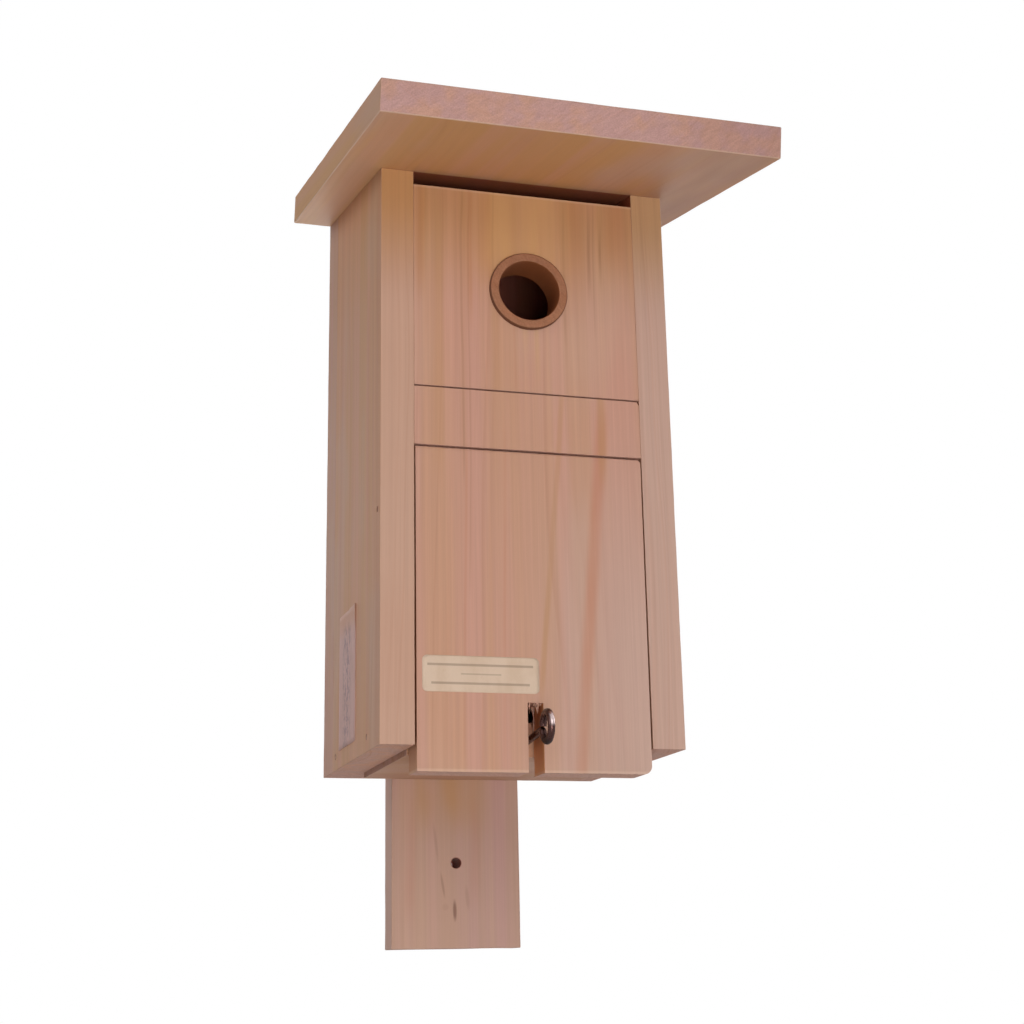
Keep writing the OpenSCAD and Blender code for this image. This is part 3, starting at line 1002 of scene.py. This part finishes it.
# The dark base colour is partly tarnish and partly painted dark reflection of a dim room
plated = steel(
    "plated_steel", srgb(74, 52, 49), 0.18, 0.12, srgb(58, 36, 30), 0.8,
    highlight=(highlight_place(), 4.2, srgb(198, 178, 176)),
    dark_end=(dark_end_place(), 5.4, srgb(30, 15, 12)),
)


BEND_LENGTH = 2.6  # millimetres from the shank's end to the ring's
BEND_REACH = 3  # millimetres over which the wire keeps its way at both ends of the bend
RING_FROM, RING_TO = 40, 348  # degrees round the ring, from the shank


def eye_path():
    """The wire's middle line: the shank from its point, a short bend, then round the ring."""
    forward, mouth = eye_joint()
    middle, ring_r, wire = eye_ring()
    downward = X_AXIS.cross(forward)
    tip_reach = min((v.co - mouth).dot(forward) for v in vertices_of("screw_eye"))
    tip = mouth + forward * tip_reach
    shank_end = middle - forward * (ring_r + BEND_LENGTH * MM)
    count = round((shank_end - tip).length / (0.3 * MM))
    points = [tip.lerp(shank_end, i / count) for i in range(count + 1)]

    def on_ring(degrees):
        angle = math.radians(degrees)
        return middle + (downward * math.sin(angle) - forward * math.cos(angle)) * ring_r

    angle = math.radians(RING_FROM)
    ring_way = downward * math.cos(angle) + forward * math.sin(angle)
    start, end = points[-1], on_ring(RING_FROM)
    control_1 = start + forward * BEND_REACH * MM
    control_2 = end - ring_way * BEND_REACH * MM
    for i in range(1, 9):
        t = i / 9
        points.append(
            start * (1 - t) ** 3
            + control_1 * 3 * t * (1 - t) ** 2
            + control_2 * 3 * t**2 * (1 - t)
            + end * t**3
        )
    for degrees in range(RING_FROM, RING_TO + 1, 4):
        points.append(on_ring(degrees))
    return points, wire


def screw_eye():
    """One bent wire, with a cut end beside the shank and a thread on the wood's end."""
    points, wire = eye_path()
    forward, mouth = eye_joint()
    tip = (points[0] - mouth).dot(forward)
    thread_end, point_l, pitch, segments = -5 * MM, 6 * MM, 1.6 * MM, 28
    mesh = bmesh.new()
    rings = []
    for i, place in enumerate(points):
        before, after = points[max(i - 1, 0)], points[min(i + 1, len(points) - 1)]
        tangent = (after - before).normalized()
        outward = tangent.cross(X_AXIS).normalized()
        reach = (place - mouth).dot(forward)
        ring = []
        for k in range(segments):
            angle = 2 * math.pi * k / segments
            r = wire
            if reach < thread_end:
                fade = min(1, (thread_end - reach) / (2 * MM))
                turn = ((reach - tip) / pitch + k / segments) % 1
                groove = 0.42 * MM * min(1, abs(turn - 0.5) * 3.2)
                taper = min(1, 0.28 + 0.72 * (reach - tip) / point_l)
                r = (wire - groove * fade) * taper
            ring.append(place + (X_AXIS * math.cos(angle) + outward * math.sin(angle)) * r)
        rings.append(ring)
    add_rings(mesh, rings)
    mark_sharp(mesh, 60)
    mesh_piece("screw_eye_wire", mesh, plated, "eye", "bright_steel", ("screw_eye",))


screw_eye()


# ---- nails and screws

# Measures in millimetres
HEAD_FLAT = 0.02
HEAD_BORDER = 0.3
NAIL_HEAD = 1.2
NAIL_ROUNDING = 0.25
SCREW_HEAD_R = 4
SCREW_SHANK_R = 2
SCREW_PITCH = 2.2
LONGEST_ROOF_SCREW = 45

dull_steel = steel("dull_steel", srgb(172, 140, 122), 0.45, 0.2, srgb(122, 86, 68), 0.85)


def pressed_in(cut, radius_limit):
    """A shape for turned_rings that presses a pattern into the flat of a head."""

    def shape(along, radius, angle):
        if along > HEAD_FLAT or radius > radius_limit:
            return along, radius
        return along + cut(radius * math.cos(angle), radius * math.sin(angle)), radius

    return shape


def smooth_share(value, start, end):
    """0 before start, 1 after end, with a smooth change between."""
    t = min(1, max(0, (value - start) / (end - start)))
    return t * t * (3 - 2 * t)


def nail_mesh(mesh, origin, axis, head_r, shank_r, length, sunk):
    """A wire nail with a criss-cross pattern on its head, driven along the axis."""

    def cut(x, z):
        pitch = 0.9
        near = min(abs(x % pitch - pitch / 2), abs(z % pitch - pitch / 2))
        return 0.1 * (1 - smooth_share(near, 0.05, 0.2))

    profile = [(0, head_r * i / 14) for i in range(14)][1:]
    profile += arc(NAIL_ROUNDING, head_r - NAIL_ROUNDING, NAIL_ROUNDING, -90, 0, 3)
    profile += [(NAIL_HEAD, head_r), (NAIL_HEAD + 0.3, shank_r)]
    profile += [(length - 2 * shank_r, shank_r), (length, shank_r * 0.25)]
    start = origin + axis * sunk * MM
    shape = pressed_in(cut, head_r - HEAD_BORDER)
    add_rings(mesh, turned_rings(start, axis, profile, 40, shape))


def screw_mesh(mesh, origin, axis, length):
    """A countersunk wood screw with a cross recess and a thread."""
    thread_from = length * 0.38

    def slot(across, along):
        """One arm of the recess, 1 in the slot and 0 beside it."""
        return (1 - smooth_share(abs(across), 0.45, 0.7)) * (1 - smooth_share(abs(along), 2, 2.3))

    def cut(x, z):
        return max(slot(x, z), slot(z, x)) * max(1.8 - 0.45 * math.hypot(x, z), 0.3)

    recessed = pressed_in(cut, SCREW_HEAD_R - HEAD_BORDER)

    def shape(along, radius, angle):
        if along <= thread_from:
            return recessed(along, radius, angle)
        turn = (along / SCREW_PITCH - angle / (2 * math.pi)) % 1
        crest = max(0, 1 - abs(turn - 0.5) * 4.5)
        return along, radius * (0.7 + 0.3 * crest)

    head_r, shank_r = SCREW_HEAD_R, SCREW_SHANK_R
    profile = [(0, head_r * i / 22) for i in range(1, 22)]
    profile += [(0, head_r - 0.05), (0.25, head_r), (head_r - shank_r, shank_r)]
    profile += [(thread_from, shank_r)]
    profile += stepped((thread_from + 0.3, shank_r), (length - 4, shank_r), 0.35)
    profile += stepped((length - 3.7, shank_r * 0.95), (length, shank_r * 0.3), 0.35)
    add_rings(mesh, turned_rings(origin, axis, profile, 48, shape))


def islands(node):
    """The boxes of a node's separate solids, as (lowest corner, highest corner)."""
    mesh = node_mesh(node)
    left, found = set(mesh.verts), []
    while left:
        stack, group = [left.pop()], []
        while stack:
            vertex = stack.pop()
            group.append(vertex.co.copy())
            for edge in vertex.link_edges:
                other = edge.other_vert(vertex)
                if other in left:
                    left.remove(other)
                    stack.append(other)
        low = Vector([min(c[i] for c in group) for i in range(3)])
        high = Vector([max(c[i] for c in group) for i in range(3)])
        found.append((low, high))
    mesh.free()
    return sorted(found, key=lambda box: tuple(box[0]))


def driven(node, add_one):
    """The piece of one node's nails or screws. add_one adds one, from its box and middle."""
    mesh = bmesh.new()
    for low, high in islands(node):
        add_one(mesh, low, high, (low + high) / 2)
    mark_sharp(mesh, 50)
    mesh_piece(node + "_steel", mesh, dull_steel, "box", "nail_steel", (node,))


def nails_along_x(node, side, sunk, shank_share=0.5):
    """The nails of one node, driven inwards from the left (-1) or right (1) wall."""

    def add_nail(mesh, low, high, middle):
        origin = Vector((high.x if side > 0 else low.x, middle.y, middle.z))
        head_r = (high.z - low.z) / 2 / MM
        length = (high.x - low.x) / MM - sunk
        nail_mesh(mesh, origin, X_AXIS * -side, head_r, head_r * shank_share, length, sunk)

    driven(node, add_nail)


def screw_from_behind(mesh, low, high, middle):
    """A screw driven forwards, with its head flush behind."""
    screw_mesh(mesh, Vector((middle.x, high.y, middle.z)), -Y_AXIS, (high.y - low.y) / MM)


def roof_screw(mesh, low, high, middle):
    """A screw through the roof, square to its upper face."""
    roof_top = max(v.co.dot(ROOF_NORMAL) for v in vertices_of("roof_board"))
    half = roof_top - middle.dot(ROOF_NORMAL)
    length = min(2 * half / MM, LONGEST_ROOF_SCREW)
    screw_mesh(mesh, middle + ROOF_NORMAL * half, -ROOF_NORMAL, length)


nails_along_x("left_floor_nails", -1, sunk=0.35)
nails_along_x("right_floor_nails", 1, sunk=0.35)
nails_along_x("left_pivot_nail", -1, sunk=0.5, shank_share=0.7)
nails_along_x("right_pivot_nail", 1, sunk=0.5, shank_share=0.7)
driven("back_screws", screw_from_behind)
driven("batten_screws", screw_from_behind)
driven("roof_screws", roof_screw)


# ---- labels

label_low, label_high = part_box("front_label")
label_mid_z = centre("front_label").z / MM
label_left, label_right = label_low.x / MM, label_high.x / MM
cream = paper(
    "cream_label", srgb(215, 189, 166), srgb(206, 178, 153), 0.8, srgb(190, 150, 120), 0.12,
    lines=(
        (label_mid_z + 4.6, label_left + 2.5, label_right - 3, 0.6, 0.5),
        (label_mid_z, label_left + 20, label_right - 20, 0.4, 0.35),
        (label_mid_z - 4.8, label_left + 4.5, label_right - 5, 0.6, 0.5),
    ),
)
brown_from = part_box("side_label")[1].z / MM - 16
side_middle = centre("side_label").y / MM + 1
lilac = paper(
    "worn_label", srgb(208, 166, 159), srgb(200, 160, 150), 0.9, srgb(182, 138, 122), 0.5,
    weathered=(side_middle, 15, brown_from, srgb(142, 112, 116), srgb(203, 151, 125)),
)


def rounded_outline(width, height, radius, steps=6):
    """Corner points of a rectangle with round corners, round its middle."""
    points = []
    for turn in range(4):
        side_x = 1 if turn in (0, 3) else -1
        side_z = 1 if turn in (0, 1) else -1
        for i in range(steps + 1):
            angle = math.pi / 2 * (turn + i / steps)
            x = side_x * (width / 2 - radius) + radius * math.cos(angle)
            z = side_z * (height / 2 - radius) + radius * math.sin(angle)
            points.append((x, z))
    return points


SHEET_ROWS = 14


def sheet_mesh(outline, place):
    """A thin sheet from an outline: rings of points that shrink towards the middle.

    place takes (x, z, share from the middle, face) and returns a point; face is 0 for the
    back of the sheet and 1 for its front.
    """
    mesh = bmesh.new()
    rings = [[place(x, z, 1, 0) for x, z in outline]]
    for row in range(SHEET_ROWS):
        share = 1 - row / SHEET_ROWS
        rings.append([place(x * share, z * share, share, 1) for x, z in outline])
    add_rings(mesh, rings)
    return mesh


def front_label():
    """The cream label on the flap, lying flat and a little wavy."""
    low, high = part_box("front_label")
    middle = (low + high) / 2
    width, height = (high.x - low.x), (high.z - low.z)

    def place(x, z, share, face):
        ripple = noise.noise(Vector((x, z, 0)) / (9 * MM)) * 0.04 * MM
        edge = 0.07 * MM * smooth_share(share, 0.85, 1)
        y = high.y - face * (high.y - low.y - 0.05 * MM - edge - abs(ripple))
        return Vector((middle.x + x, y, middle.z + z))

    mesh = sheet_mesh(rounded_outline(width, height, 2.5 * MM), place)
    mesh_piece("front_label_paper", mesh, cream, "flap", "cream_paper", ("front_label",))


def side_label():
    """The worn label on the left wall, with rubbed edges and one corner that has lifted."""
    low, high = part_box("side_label")
    middle = (low + high) / 2
    width, height = (high.y - low.y), (high.z - low.z)
    outline = [Vector((x, z, 0)) for x, z in rounded_outline(width, height, 0.8 * MM, 2)]
    fine = []
    for first, second in zip(outline, outline[1:] + outline[:1]):
        count = max(1, round((second - first).length / (1.5 * MM)))
        fine += [first.lerp(second, i / count) for i in range(count)]
    worn = []
    for point in fine:
        nibble = abs(noise.noise(point / (4 * MM) + Vector((3, 8, 1)))) * 0.9 * MM
        inward = -point.normalized()
        worn.append((point.x + inward.x * nibble, point.y + inward.y * nibble))

    def place(x, z, share, face):
        thick = (high.x - low.x) * (1 if face else 0)
        lift = smooth_share(-x / width, 0.36, 0.5) * smooth_share(z / height, 0.25, 0.45) * 0.3 * MM
        ripple = abs(noise.noise(Vector((x, z, 5)) / (11 * MM))) * 0.05 * MM
        return Vector((high.x - thick - lift + ripple * face, middle.y + x, middle.z + z))

    mesh = sheet_mesh(worn, place)
    mesh_piece("side_label_paper", mesh, lilac, "box", "pale_paper", ("side_label",))


front_label()
side_label()


# ---- splinters


def splinter(mesh, start, end, bow, width):
    """A thin sliver that starts broad and ends in a point, bowed to one side."""
    side = (end - start).cross(Y_AXIS).normalized()
    corners = ((1, 1), (-1, 1), (-1, -1), (1, -1))
    rings = []
    for i in range(7):
        t = i / 6
        place = start.lerp(end, t) + bow * (t * (1 - t) * 4)
        half = width / 2 * (1 - 0.9 * t) * (0.7 + 0.3 * math.sin(t * 9 + width * 4000))
        thin = half * 0.45
        rings.append([place + side * (sx * half) + Y_AXIS * (sy * thin) for sx, sy in corners])
    add_rings(mesh, rings)


# Each (x, depth behind the flap's face, length down, width, lean to the right)
SLOT_FIBRES = (
    (-3.4, 1, 3.6, 0.9, 0.6), (-2.1, 2.4, 2.4, 1.2, -0.5), (-0.6, 1.2, 5, 0.8, 1.5),
    (0.3, 4.5, 3.2, 1.1, 0.4), (1.4, 0.7, 1.9, 1.3, -0.6), (2.5, 1.6, 3, 1.2, -0.9),
    (3.3, 0.9, 2.2, 0.8, -0.4), (-1.2, 9, 4.5, 1.1, 0.8), (2, 12, 3.4, 0.9, -0.7),
    (-2.4, 15.5, 9.5, 1.6, 0.6), (3.2, 15.8, 13, 1.8, 0.5), (3.5, 6, 5, 1.6, -0.6),
    (2.6, 3, 4.2, 1.8, -1), (-3, 12, 6, 2, 0.9),
)


def slot_splinters():
    """Fibres torn out at the slot's upper end."""
    front_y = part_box("flap")[0].y
    top = slot_extent()[1] * MM
    mesh = bmesh.new()
    for x, inward, drop, width, lean in SLOT_FIBRES:
        start = Vector((x * MM, front_y + inward * MM, top + 0.4 * MM))
        end = start + Vector((lean * MM, 0.3 * MM, -drop * MM))
        splinter(mesh, start, end, Vector((lean * 0.3 * MM, -0.2 * MM, 0)), width * MM)
    mesh_piece("slot_splinters", mesh, flap_wood, "flap", "front_wood", smooth=False)


slot_splinters()


def torn_exits():
    """Fibres torn at the rear ends of the batten's fixing holes, where the drill came out."""
    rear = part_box("batten")[1].y
    mesh = bmesh.new()
    for middle_x, middle_z, radius in fixing_holes():
        count = 34
        for i in range(count):
            angle = 2 * math.pi * (i + 0.6 * noise.noise(Vector((i * 0.7, radius, 2)))) / count
            out = Vector((math.cos(angle), 0, math.sin(angle)))
            length = 1.9 + 0.6 * noise.noise(Vector((i * 0.9, 4, middle_z)))
            middle = Vector((middle_x * MM, rear - 0.6 * MM, middle_z * MM))
            start = middle + out * (radius + 0.2) * MM
            end = start - out * (length + 0.2) * MM - Y_AXIS * 0.5 * MM
            splinter(mesh, start, end, Vector((0, 0.1 * MM, 0)), 1.3 * MM)
    mesh_piece("torn_exits", mesh, batten_wood, "box", "back_wood", smooth=False)


torn_exits()


# ---- stage, light and camera

FLOOR_DROP = 0.8  # metres from the batten's lower end to the floor
WARM_WHITE = (1, 0.99, 0.98)
WHITE = (1, 1, 1, 1)


def for_camera(tree):
    """1 for rays from the camera, metal and glass, else 0."""
    rays = tree.add("LightPath").outputs
    seen = tree.math("MAXIMUM", rays["Is Camera Ray"], rays["Is Glossy Ray"])
    return tree.math("MAXIMUM", seen, rays["Is Transmission Ray"])


def studio_world():
    """A dim room that the camera, metal and glass see as white."""
    world = bpy.data.worlds.new("studio")
    bpy.context.scene.world = world
    tree = Tree(world)
    plain = tree.add("Background", {"Color": (*WARM_WHITE, 1), "Strength": 0.12})
    white = tree.add("Background", {"Color": WHITE, "Strength": 1})
    tree.output(tree.blend(for_camera(tree), plain, white), "OutputWorld")


def studio_floor():
    """A pale floor below the box that runs out into white, and is clear from below."""
    mesh = bmesh.new()
    bmesh.ops.create_circle(mesh, cap_ends=True, radius=6, segments=96)
    data = bpy.data.meshes.new("studio_floor")
    mesh.to_mesh(data)
    mesh.free()
    floor = placed("studio_floor", data)
    floor.location = (0, -0.1, cad_bounds[0].z - FLOOR_DROP)
    material, tree = new_material("studio_floor")
    place = tree.surface_data("Object")
    far = tree.ease(tree.length(place), 0.4, 1.8, 0.6, 1)
    grain = tree.noise(tree.stretched(place, (40, 40, 40)), 3)
    pale = tree.mix(grain, (0.66, 0.65, 0.64, 1), (0.7, 0.69, 0.68, 1))
    plain = tree.add("BsdfDiffuse", {"Color": pale})
    white = tree.add("Emission", {"Color": WHITE, "Strength": 1})
    from_above = tree.blend(tree.times(for_camera(tree), far), plain, white)
    from_below = tree.add("NewGeometry").outputs["Backfacing"]
    tree.output(tree.blend(from_below, from_above, tree.add("BsdfTransparent")))
    data.materials.append(material)


def lamp(name, place, width, watts, colour=WHITE[:3]):
    """A round soft lamp that shines on the entrance panel."""
    data = bpy.data.lights.new(name, "AREA")
    data.shape = "DISK"
    data.size = width
    data.energy = watts
    data.color = colour
    light = placed(name, data)
    light.location = place
    aim = centre("entrance_panel") - Vector(place)
    light.rotation_euler = aim.to_track_quat("-Z", "Y").to_euler()
    light.visible_camera = False


def photo_camera():
    """The photo's view, from below and from the left."""
    data = bpy.data.cameras.new("camera")
    data.sensor_width = 36
    data.lens = 61.63
    data.shift_x = 0.0001
    data.shift_y = -0.0627
    data.clip_start = 0.05
    camera = placed("camera", data)
    camera.location = (-0.2642, -1.0223, -0.1119)
    camera.rotation_euler = [math.radians(degrees) for degrees in (106.848, 1.069, -16.290)]
    bpy.context.scene.camera = camera


studio_world()
studio_floor()
lamp("key", (0, -2.3, 0.85), 1.4, 11.2, WARM_WHITE)
lamp("low", (-0.1, -1.35, -0.3), 0.5, 7.7, WARM_WHITE)
lamp("left", (-2.3, -0.6, 1), 1.4, 12.2)
lamp("right", (2.3, 0.3, 0.9), 1.4, 12)
lamp("back", (0.3, 2.3, 0.7), 1.4, 26)
lamp("top", (0.1, 0.1, 2.4), 1.4, 12)
photo_camera()
bpy.context.scene.view_settings.view_transform = "Standard"
